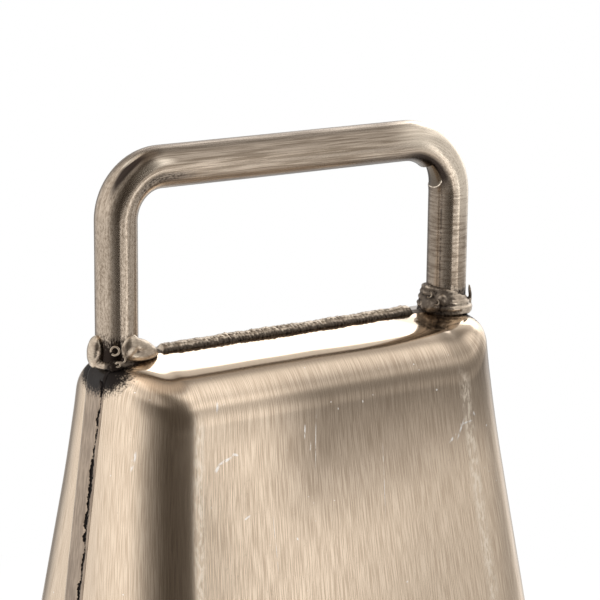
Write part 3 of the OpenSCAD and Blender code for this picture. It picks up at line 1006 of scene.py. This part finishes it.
# Scratches on the front face, each (x, z, half length in mm, half width in mm, degrees from level)
SCRATCHES = (
    (36.3, 168.4, 3.4, 0.35, 62),
    (38.2, 169.6, 3.0, 0.30, 8),
    (33.6, 166.4, 1.8, 0.40, 40),
    (40.6, 171.2, 1.2, 0.45, 110),
    (-31.6, 171.2, 2.6, 0.45, 18),
    (-34.0, 169.6, 1.4, 0.50, 50),
    (-28.8, 172.2, 1.0, 0.40, -20),
    (-32.6, 183.4, 1.6, 0.35, 75),
    (-9.4, 174.7, 2.2, 0.22, 84),
    (-8.2, 171.0, 1.3, 0.20, 80),
    (-51.8, 172.6, 2.8, 0.35, 76),
    (-27.0, 157.4, 1.2, 0.30, 25),
    (-6.6, 172.0, 8.0, 0.10, 84),
    (12.0, 160.0, 11.0, 0.09, 87),
    (-20.0, 150.0, 9.0, 0.09, 91),
)


def scratch_marks(coords):
    """A mask of the scratches: each is a thin ellipse in the face's own directions."""
    total = None
    for x, z, half_length, half_width, slant in SCRATCHES:
        place = {
            "Vector": coords, "Location": (x * MM, 0, z * MM), "Rotation": (0, radians(-slant), 0),
            "Scale": (half_length * MM, 1, half_width * MM),
        }
        mark = coords.node("Mapping", place, "Vector", vector_type="TEXTURE").length().spread(1.0, 0.45)
        total = mark if total is None else total.most(mark)
    return total * in_front(coords)


def corner_wear(coords):
    """A mask along the upright edges where each flat face turns into its corners."""
    x, _, z = coords.parts()
    drop = BODY_H - z
    edge = drop * (END_SLOPE - CORNER_SLOPE) + (TOP_HALF_W - TOP_CORNER_R)
    return abs(abs(x) - edge).spread(2.4 * MM, 0.3 * MM) * drop.spread(8 * MM, 16 * MM)


def shoulder_painted_reflection(flat):
    """A mask of the painted dark reflection below the shoulder, from the face's middle to the right corner.
    """
    across, high, _ = flat.parts()
    face = (across * -0.15 + high).spread(BODY_H - 47 * MM, BODY_H - 17 * MM)
    face = face * high.spread(BODY_H - 1.5 * MM, BODY_H - 11 * MM) * across.spread(-34 * MM, -4 * MM)
    corner = across.spread(45 * MM, 52 * MM) * across.spread(66 * MM, 58 * MM)
    return face.most(corner * high.spread(BODY_H - 30 * MM, BODY_H - 8 * MM, 0.05, 0.8))


def brushed_bell_steel():
    """Antique nickel on the pressed halves, brushed upright, with a painted dark reflection below the
    shoulder, sooty where the handle is welded on.
    """
    finish, tree = new_finish("brushed_bell_steel")
    coords = on_piece(tree)
    facing_up = on_piece(tree, "Normal").parts()[2]
    flat = carried(tree, "flat")
    streak = flat.grain((3400, 120, 1), 2.0) * 0.78 + flat.grain((1700, 55, 1), 3.0) * 0.16
    streak = streak + flat.grain((150, 14, 1), 2.0) * 0.06
    streak = streak.toward(0.52, facing_up.spread(0.55, 0.92, 0.0, 0.9))
    colour = streak.spread(0.41, 0.59).tint(NICKEL_AGED, NICKEL)
    # Painted dark reflection below the shoulder, darkening the face towards the right corner.
    painted_reflection = shoulder_painted_reflection(flat) * in_front(coords) * 0.90
    colour = painted_reflection.tint(colour, NICKEL_PAINTED_SHADE, "MULTIPLY")
    fleck = coords.grain((1300, 1300, 420), 3.0)
    worn = corner_wear(coords) * fleck.spread(0.42, 0.62, 0.15, 1.0)
    nicks = coords.grain((900, 900, 700), 1.0).spread(0.78, 0.82)
    marks = (scratch_marks(coords) * fleck.spread(0.38, 0.55)).most(nicks)
    colour = (worn * 0.8).tint(colour, NICKEL_WORN_AND_HIGHLIGHT)
    colour = (marks * 0.75).tint(colour, CHIPPED)
    sooty = near_feet(coords)
    colour = sooty.tint(colour, SOOT)
    rough = streak.spread(0.3, 0.7, 0.22, 0.17) - facing_up.spread(0.80, 0.95, 0.0, 0.08) + sooty * 0.3
    return metal(finish, colour, rough, streak + marks * 0.8, 0.10, 0.03 * MM, lay=0.45)


def dull_inside_steel():
    """The unbrushed inside of the halves: dull, with stains and a grey scale."""
    finish, tree = new_finish("dull_inside_steel")
    cloud = on_piece(tree).grain((60, 60, 40), 5.0)
    speck = on_piece(tree).grain((900, 900, 900), 3.0)
    colour = cloud.spread(0.35, 0.65).tint(INSIDE_DARK, INSIDE_LIGHT)
    colour = speck.spread(0.58, 0.72, 0, 0.6).tint(colour, INSIDE_STAIN)
    return metal(finish, colour, cloud.spread(0.3, 0.7, 0.42, 0.58), speck, 0.12, 0.05 * MM)


def drawn_wire_steel():
    """The clapper's wire: dull, with a lengthwise grain that follows the bends."""
    finish, tree = new_finish("drawn_wire_steel")
    along = carried(tree, "unbent")
    streak = along.grain((1700, 1700, 60), 3.0) * 0.7 + along.grain((160, 160, 70), 4.0) * 0.3
    colour = streak.spread(0.36, 0.62).tint(WIRE_DARK, CLAPPER_RUBBED)
    return metal(finish, colour, streak.spread(0.3, 0.7, 0.46, 0.32), streak, 0.25, 0.06 * MM)


def forged_clapper_iron():
    """The clapper's ball: dark forged steel, rubbed where it strikes."""
    finish, tree = new_finish("forged_clapper_iron")
    cloud = on_piece(tree).grain((160, 160, 160), 5.0)
    speck = on_piece(tree).grain((1400, 1400, 1400), 3.0)
    colour = cloud.spread(0.35, 0.65).tint(IRON_DARK, CLAPPER_RUBBED)
    colour = speck.spread(0.55, 0.7, 0, 0.5).tint(colour, IRON_SPECK)
    return metal(finish, colour, cloud.spread(0.3, 0.7, 0.5, 0.34), speck, 0.2, 0.08 * MM)


def places_on_rod(along):
    """Where a point lies on the straight rod, its turn in degrees (-90 in front), and its grains."""
    x, y, run = along.parts()
    rod = SimpleNamespace(run=run, turn=y.calc("ARCTAN2", x) * degrees(1))
    rod.on_grip = run.spread(GRIP_AT - 12 * MM, GRIP_AT) * run.spread(RIGHT_BEND_AT + 12 * MM, RIGHT_BEND_AT)
    rod.on_right_leg = run.spread(RIGHT_LEG_AT - 6 * MM, RIGHT_LEG_AT)
    rod.lengthwise = along.grain((2700, 2700, 75), 3.0)
    rod.specks = along.grain((2500, 2500, 1500), 2.0)
    left_leg = rod.specks.toward(rod.lengthwise, 0.45)
    right_leg = rod.specks.toward(along.grain((260, 260, 1800), 2.0), 0.80)
    rod.streak = left_leg.toward(right_leg, rod.on_right_leg).toward(rod.lengthwise, rod.on_grip)
    return rod


def rod_patch(rod, at, at_turn, half_length, half_turn):
    """A mask of a soft round patch on the straight rod."""
    along = (rod.run - at) * (1 / half_length)
    about = (rod.turn - at_turn) * (1 / half_turn)
    return (along * along + about * about).calc("SQRT").spread(1.0, 0.4)


def rod_shade(rod):
    """A mask of the painted shade on the rod's inner side, and on the grip above and below its bright line.
    """
    inside = abs(rod.turn).spread(72, 28, 0, 0.88)
    inside = inside * rod.run.spread(GRIP_AT - 6 * MM, GRIP_AT + 14 * MM, 0.7, 1.0)
    inside = inside * rod.on_right_leg.spread(0.0, 1.0, 1.0, 0.55)
    over = rod.on_grip * rod.turn.spread(-96, -124, 0, 0.35)
    under = rod.on_grip * rod.turn.spread(-80, -50, 0, 0.6)
    return inside.most(over.most(under))


def bend_burns_and_painted_shadow(rod):
    """A mask of the dark marks at the bends, of the painted shadow round the die's mark, and of the dark line
    down the right leg.
    """
    edge_line = rod.on_right_leg * abs(rod.turn + 33).spread(4.58, 1.15) * rod.specks.spread(0.40, 0.52)
    left_burn = rod_patch(rod, LEFT_BEND_AT + 10.0 * MM, -146, 7.0 * MM, 17)
    # The crescent is painted shadow under the grip and round the die's mark inside the right bend.
    crescent_painted_shadow = rod.run.spread(RIGHT_BEND_AT - 6 * MM, RIGHT_BEND_AT + 4 * MM)
    crescent_painted_shadow = crescent_painted_shadow * rod.run.spread(DIE_MARK_END + 2 * MM, DIE_MARK_END - 4 * MM)
    crescent_painted_shadow = crescent_painted_shadow * abs(rod.turn + 47).spread(22, 7)
    left_hollow = rod_patch(rod, LEFT_BEND_AT + 15.0 * MM, -70, 13.0 * MM, 20)
    left_hollow = left_hollow * rod.specks.spread(0.34, 0.60, 0.9, 0.5)
    return left_burn.most(crescent_painted_shadow).most(edge_line * 0.7).most(left_hollow)


def bend_scuff_and_painted_highlight(rod):
    """A mask of the worn scuff at the left bend, and of the painted highlights on the front of both bends."""
    scuff = rod_patch(rod, LEFT_BEND_AT + 12.2 * MM, -163, 3.0 * MM, 13) * rod.lengthwise.spread(0.42, 0.56)
    left_painted_highlight = rod_patch(rod, LEFT_BEND_AT + 14.0 * MM, -113, 7.0 * MM, 15)
    right_painted_highlight = rod.run.spread(RIGHT_BEND_AT - 9 * MM, RIGHT_BEND_AT + 5 * MM)
    right_painted_highlight = right_painted_highlight * rod.run.spread(RIGHT_LEG_AT + 12 * MM, RIGHT_LEG_AT - 4 * MM)
    right_painted_highlight = right_painted_highlight * rod.turn.spread(-66, -92)
    painted_highlights = (left_painted_highlight * 0.8).most(right_painted_highlight) * rod.streak.spread(0.30, 0.60, 0.55, 1.0)
    return scuff.most(painted_highlights)


def brushed_handle_steel():
    """The bent rod: brushed lengthwise along the grip, ticked crosswise on the legs, marked at the bends,
    with painted shade, shadow and highlights.
    """
    finish, tree = new_finish("brushed_handle_steel")
    along = carried(tree, "unbent")
    rod = places_on_rod(along)
    colour = rod.streak.spread(0.34, 0.64).tint(HANDLE_AGED, HANDLE_LIGHT)
    colour = along.grain((150, 150, 40), 4.0).spread(0.45, 0.7, 0, 0.3).tint(colour, HANDLE_AGED)
    # Painted shade on the rod's inner side and on the grip's top and underside.
    colour = rod_shade(rod).tint(colour, HANDLE_SHADE_PAINT)
    # Burn marks at the bends, with painted shadow round the die's mark.
    colour = bend_burns_and_painted_shadow(rod).tint(colour, HANDLE_BURN_AND_SHADOW)
    # Worn scuff and painted highlights at the bends.
    colour = bend_scuff_and_painted_highlight(rod).tint(colour, NICKEL_WORN_AND_HIGHLIGHT)
    die = carried(tree, "die", "Fac")
    colour = die.spread(0.6, 0.95).tint(colour, DIE_GREY)
    # A painted highlight round the edge of the die's mark.
    die_rim_painted_highlight = die.spread(0.05, 0.3) * die.spread(0.9, 0.6) * rod.specks.spread(0.36, 0.5)
    die_rim_painted_highlight = die_rim_painted_highlight * rod.run.spread(DIE_MARK_END - 9 * MM, DIE_MARK_END - 5 * MM)
    colour = die_rim_painted_highlight.tint(colour, NICKEL_WORN_AND_HIGHLIGHT)
    from_foot = rod.run.calc("MINIMUM", ROD_LENGTH - rod.run)
    charred = (rod.specks - 0.5) * (6 * MM) + from_foot
    colour = charred.spread(7.0 * MM, 3.5 * MM).tint(colour, BURNT)
    rough = rod.streak.spread(0.3, 0.7, 0.30, 0.21)
    return metal(finish, colour, rough, rod.streak, 0.35, 0.06 * MM, lay=0.8, lay_turn=rod.on_grip * 0.25)


def burnt_weld_metal():
    """Weld metal: black in its hollows, rubbed bright on its lumps, by an attribute that carries soot and the
    painted shadow along the welds' feet.
    """
    finish, tree = new_finish("burnt_weld_metal")
    coords = on_piece(tree)
    speck = coords.grain((1500, 1500, 1500), 4.0)
    cloud = coords.grain((420, 420, 420), 3.0)
    brush = coords.grain((900, 900, 2900), 2.0)
    black = carried(tree, "soot_and_shade", "Fac") + (speck - 0.5) * 0.8
    colour = brush.spread(0.3, 0.7).tint(WELD_RUBBED, WELD_BRIGHT)
    colour = cloud.spread(0.40, 0.75, 0, 0.6).tint(colour, WELD_CLOUD)
    colour = black.spread(0.10, 0.55).tint(colour, SCORCHED)
    colour = black.spread(0.70, 1.05).tint(colour, BURNT)
    height = speck * black.spread(0.15, 0.6, 0.2, 1.0)
    return metal(finish, colour, black.spread(0.2, 0.7, 0.32, 0.62), height, 0.5, 0.15 * MM)


def ground_seam_metal():
    """Weld metal ground flush: brushed, with a painted highlight along its rear toe, black where its pits are
    marked on the mesh.
    """
    finish, tree = new_finish("ground_seam_metal")
    coords = on_piece(tree)
    soot_and_shade = carried(tree, "soot_and_shade", "Fac")
    fine = coords.grain((1900, 1900, 40), 3.0)
    cloud = coords.grain((260, 260, 120), 3.0)
    speck = coords.grain((1800, 1800, 1800), 3.0)
    colour = fine.spread(0.35, 0.65).tint(SEAM_DARK, SEAM_LIGHT)
    colour = cloud.spread(0.45, 0.7, 0, 0.5).tint(colour, SEAM_CLOUD)
    # A painted highlight along the seam's rear toe.
    toe_painted_highlight = abs(coords.parts()[1] - 3.6 * MM).spread(0.40 * MM, 0.12 * MM)
    colour = toe_painted_highlight.tint(colour, NICKEL_WORN_AND_HIGHLIGHT)
    colour = near_feet(coords).tint(colour, SOOT)
    black = (soot_and_shade + (speck - 0.5) * 2.2).spread(0.38, 0.60) * soot_and_shade.spread(0.05, 0.25)
    colour = black.tint(colour, SEAM_PIT)
    return metal(finish, colour, black.spread(0.0, 1.0, 0.30, 0.7), fine - black, 0.25, 0.06 * MM)


# The bell itself

bell_finishes = [brushed_bell_steel(), dull_inside_steel()]
weld_finish = [burnt_weld_metal()]
seam_finish = [ground_seam_metal()]
rod_finish = [brushed_handle_steel()]
wire_finish = [drawn_wire_steel()]
iron_finish = [forged_clapper_iron()]

front_bm, rear_bm = press_half_shell(True), press_half_shell(False)
roof_trees = [BVHTree.FromBMesh(front_bm), BVHTree.FromBMesh(rear_bm)]
left_weld_bm = pile_handle_weld(-1, LEFT_LOBES, LEFT_CURLS, 0.0, 2.3, roof_trees)
right_weld_bm = pile_handle_weld(1, RIGHT_LOBES, RIGHT_CURLS, 1.0, 5.9, roof_trees)

# Each piece: its mesh, name, body, slot, finishes, the node it stands for, and how sharp its edges are
pieces = (
    (front_bm, "front_half", "bell", "bell_steel", bell_finishes, "front_shell", SHEET_SHARP),
    (rear_bm, "rear_half", "bell", "bell_steel", bell_finishes, "rear_shell", SHEET_SHARP),
    (roll_top_bead(), "top_bead", "bell", "weld_metal", weld_finish, "top_seam_weld", WELD_SHARP),
    (fill_end_seam(-1), "left_seam", "bell", "weld_metal", seam_finish, "left_seam_weld", SEAM_SHARP),
    (fill_end_seam(1), "right_seam", "bell", "weld_metal", seam_finish, "right_seam_weld", SEAM_SHARP),
    (bend_handle_rod(), "handle_rod", "bell", "handle_steel", rod_finish, "handle", SHEET_SHARP),
    (left_weld_bm, "left_foot_weld", "bell", "weld_metal", weld_finish, "left_handle_weld", WELD_SHARP),
    (right_weld_bm, "right_foot_weld", "bell", "weld_metal", weld_finish, "right_handle_weld", WELD_SHARP),
    (bend_staple(), "staple", "bell", "clapper_steel", wire_finish, "clapper_staple", SHEET_SHARP),
    (run_staple_welds(), "staple_fillets", "bell", "weld_metal", weld_finish, "staple_welds", WELD_SHARP),
    (close_hanger_ring(), "ring", "ring", "clapper_steel", wire_finish, "hanger_ring", SHEET_SHARP),
    (forge_clapper_shank(), "shank", "clapper", "clapper_steel", wire_finish, "clapper_shank", SHEET_SHARP),
    (turn_clapper_ball(), "ball", "clapper", "clapper_steel", iron_finish, "clapper_ball", SHEET_SHARP),
    (run_ball_weld(), "ball_collar", "clapper", "weld_metal", weld_finish, "ball_weld", WELD_SHARP),
)
for piece in pieces:
    keep_piece(*piece)


# Studio

FLOOR_R = 0.42
FLOOR_FADE = (0.22, 0.40)
FLOOR_BELOW = 0.0005
PAPER = (0.9, 0.9, 0.9, 1)
ROOM_TONE = (1, 0.88, 0.77, 1)


def pale_floor():
    """A round pale floor that fades into the white background and keeps the bell's shadow."""
    bm = bmesh.new()
    bmesh.ops.create_circle(bm, cap_ends=True, segments=96, radius=FLOOR_R)
    mesh = bpy.data.meshes.new("floor")
    bm.to_mesh(mesh)
    bm.free()
    floor = bpy.data.objects.new("floor", mesh)
    floor.location = (0, 0, -FLOOR_BELOW)
    bpy.context.scene.collection.objects.link(floor)
    finish, tree = new_finish("pale_floor")
    tree.nodes.clear()
    paper = add_node(tree, "BsdfDiffuse", {"Color": PAPER}).outputs[0]
    white = add_node(tree, "Emission", {"Color": WHITE, "Strength": 1.0}).outputs[0]
    glow = add_node(tree, "Emission", {"Color": WHITE, "Strength": 0.45}).outputs[0]
    lit = add_node(tree, "AddShader", {0: paper, 1: glow}).outputs[0]
    path = add_node(tree, "LightPath").outputs
    seen = Field(tree, path["Is Camera Ray"]).most(path["Is Glossy Ray"]).most(path["Is Transmission Ray"])
    rim = on_piece(tree).length().spread(*FLOOR_FADE)
    shown = add_node(tree, "MixShader", {0: rim, 1: lit, 2: white}).outputs[0]
    whole = add_node(tree, "MixShader", {0: seen, 1: paper, 2: shown}).outputs[0]
    add_node(tree, "OutputMaterial", {"Surface": whole})
    mesh.materials.append(finish)


# Soft panels round the set. Each has a strength, one or more spans that bound it, and stops up its height.
# A span is (azimuth, inner and outer half width) in degrees, and a stop is (sine of the elevation, value).
# Azimuth 0 is the front, 90 the left and -90 the right.
ROOM_STOPS = ((-0.3, 0.05), (0.0, 0.08), (0.5, 0.08), (0.90, 0.12), (0.965, 0.55), (1.0, 0.95))
LEFT_STOPS = ((-0.4, 0.78), (-0.2, 0.92), (0.0, 1.06), (0.75, 1.06), (0.98, 0.2))
RIGHT_STOPS = (
    (-0.20, 0.12), (-0.14, 0.16), (-0.06, 0.60), (0.02, 0.66), (0.2, 0.50), (0.45, 0.60), (0.65, 0.0),
)
BEHIND_STOPS = (
    (-0.3, 0.4), (-0.05, 0.5), (0.2, 0.7), (0.42, 1.1), (0.53, 2.4), (0.63, 2.4), (0.675, 0.22), (0.76, 0.20),
    (0.84, 0.0),
)
RIGHT_SPAN = (-82, 53, 58)
PANELS = {
    "left": (0.64, [(116, 30, 68)], LEFT_STOPS),
    "left_wide": (0.36, [(116, 46, 96)], LEFT_STOPS),
    "left_high": (1, [(62, 42, 60)], ((0.60, 0.0), (0.80, 0.45), (0.93, 0.60), (1.0, 0.60))),
    "right": (1, [RIGHT_SPAN], RIGHT_STOPS),
    "right_high": (
        1, [RIGHT_SPAN, (-54, 20, 48)], ((0.35, 0.0), (0.58, 0.66), (0.78, 1.05), (0.84, 1.0), (0.94, 0.0)),
    ),
    "ceiling": (1, [(-124, 20, 38)], ((0.60, 0.0), (0.70, 0.42), (0.80, 0.36), (0.95, 0.0))),
    "outer_edge": (1, [(-108, 14, 26)], ((-0.06, 0.0), (0.08, 0.3), (0.48, 0.3), (0.57, 0.0))),
    "strip": (1, [(-28.5, 3, 7)], ((-0.25, 0.2), (-0.13, 0.74), (0.1, 0.60), (0.4, 0.20), (0.6, 0.0))),
    "far_right": (1, [(-78, 30, 50)], ((-0.5, 0.4), (-0.24, 0.55), (-0.17, 0.30), (-0.10, 0.10), (0.0, 0.0))),
    "front_high": (1, [(-30, 7, 12)], ((0.35, 0.0), (0.52, 0.30), (0.80, 0.35), (0.93, 0.1))),
    "table": (1, [(-13, 18, 22)], ((-0.8, 0.1), (-0.6, 0.8), (-0.45, 1.9), (-0.25, 2.1), (-0.16, 0.0))),
    "behind": (1, [(-134, 22, 42)], BEHIND_STOPS),
}


def panel(level, azimuth, inner, outer):
    """1 within inner degrees of an azimuth, 0 beyond outer."""
    turn = radians(azimuth)
    facing = {0: level, 1: (-sin(turn), -cos(turn), 0)}
    near = level.node("VectorMath", facing, "Value", operation="DOT_PRODUCT")
    return near.spread(cos(radians(outer)), cos(radians(inner)))


def heights(up, stops):
    """A value by the height above the horizon."""
    made = add_node(up.tree, "ValToRGB", {"Fac": up.spread(-1, 1, kind="LINEAR")})
    ramp = made.color_ramp
    ramp.interpolation = "EASE"
    while len(ramp.elements) < len(stops):
        ramp.elements.new(0.5)
    for element, (sine, value) in zip(ramp.elements, stops):
        element.position = (sine + 1) / 2
        element.color = (value, value, value, 1)
    return Field(up.tree, made.outputs["Color"])


def studio_light():
    """Soft panels at the left, the right and behind, a dim room in front, and a white background."""
    world = bpy.data.worlds.new("studio")
    bpy.context.scene.world = world
    world.use_nodes = True
    tree = world.node_tree
    tree.nodes.clear()
    ray = on_piece(tree, "Generated")
    up = ray.parts()[2]
    flat = ray.node("VectorMath", {0: ray, 1: (1, 1, 0)}, "Vector", operation="MULTIPLY")
    level = flat.node("VectorMath", {0: flat}, "Vector", operation="NORMALIZE")
    total = None
    for strength, spans, stops in PANELS.values():
        light = heights(up, stops) * strength
        for span in spans:
            light = light * panel(level, *span)
        total = light if total is None else total + light
    room = heights(up, ROOM_STOPS)
    dim = add_node(tree, "Background", {"Color": ROOM_TONE, "Strength": room}).outputs[0]
    bright = add_node(tree, "Background", {"Color": WHITE, "Strength": total}).outputs[0]
    lit = add_node(tree, "AddShader", {0: dim, 1: bright}).outputs[0]
    white = add_node(tree, "Background", {"Color": WHITE, "Strength": 1.0}).outputs[0]
    path = add_node(tree, "LightPath").outputs
    seen = Field(tree, path["Is Camera Ray"]).most(path["Is Transmission Ray"])
    mixed = add_node(tree, "MixShader", {0: seen, 1: lit, 2: white}).outputs[0]
    add_node(tree, "OutputWorld", {"Surface": mixed})


# The photograph: its side and focal length in pixels, the camera's turn, and where it shows the grip's middle
PHOTO_SIDE = 600
FOCAL_PX = 2400.0
CAMERA_YAW, CAMERA_RISE, CAMERA_ROLL = radians(-34.39), radians(13.30), radians(0.60)
GRIP_PX, GRIP_PY = 290.23, 152.68
GRIP_DEPTH = 0.5665
SENSOR_MM = 36.0


def photo_camera():
    """The camera of the photograph: its focal length, turn and place were fitted to the handle and bell."""
    level = Vector((sin(CAMERA_YAW), -cos(CAMERA_YAW), 0)) * cos(CAMERA_RISE)
    back = level + Z_AXIS * sin(CAMERA_RISE)
    across = (-back).cross(Z_AXIS).normalized()
    upward = across.cross(-back)
    right = cos(CAMERA_ROLL) * across + sin(CAMERA_ROLL) * upward
    up = -sin(CAMERA_ROLL) * across + cos(CAMERA_ROLL) * upward
    aside = (GRIP_PX - PHOTO_SIDE / 2) / FOCAL_PX * GRIP_DEPTH
    below = (GRIP_PY - PHOTO_SIDE / 2) / FOCAL_PX * GRIP_DEPTH
    lens = bpy.data.cameras.new("photo_camera")
    lens.sensor_width = SENSOR_MM
    lens.lens = FOCAL_PX / PHOTO_SIDE * SENSOR_MM
    camera = bpy.data.objects.new("photo_camera", lens)
    turned = Matrix((right, up, back)).transposed().to_4x4()
    place = Vector((0, 0, GRIP_Z)) - (right * aside - up * below - back * GRIP_DEPTH)
    camera.matrix_world = Matrix.Translation(place) @ turned
    bpy.context.scene.collection.objects.link(camera)
    bpy.context.scene.camera = camera


pale_floor()
studio_light()
photo_camera()
bpy.context.scene.view_settings.view_transform = "Standard"
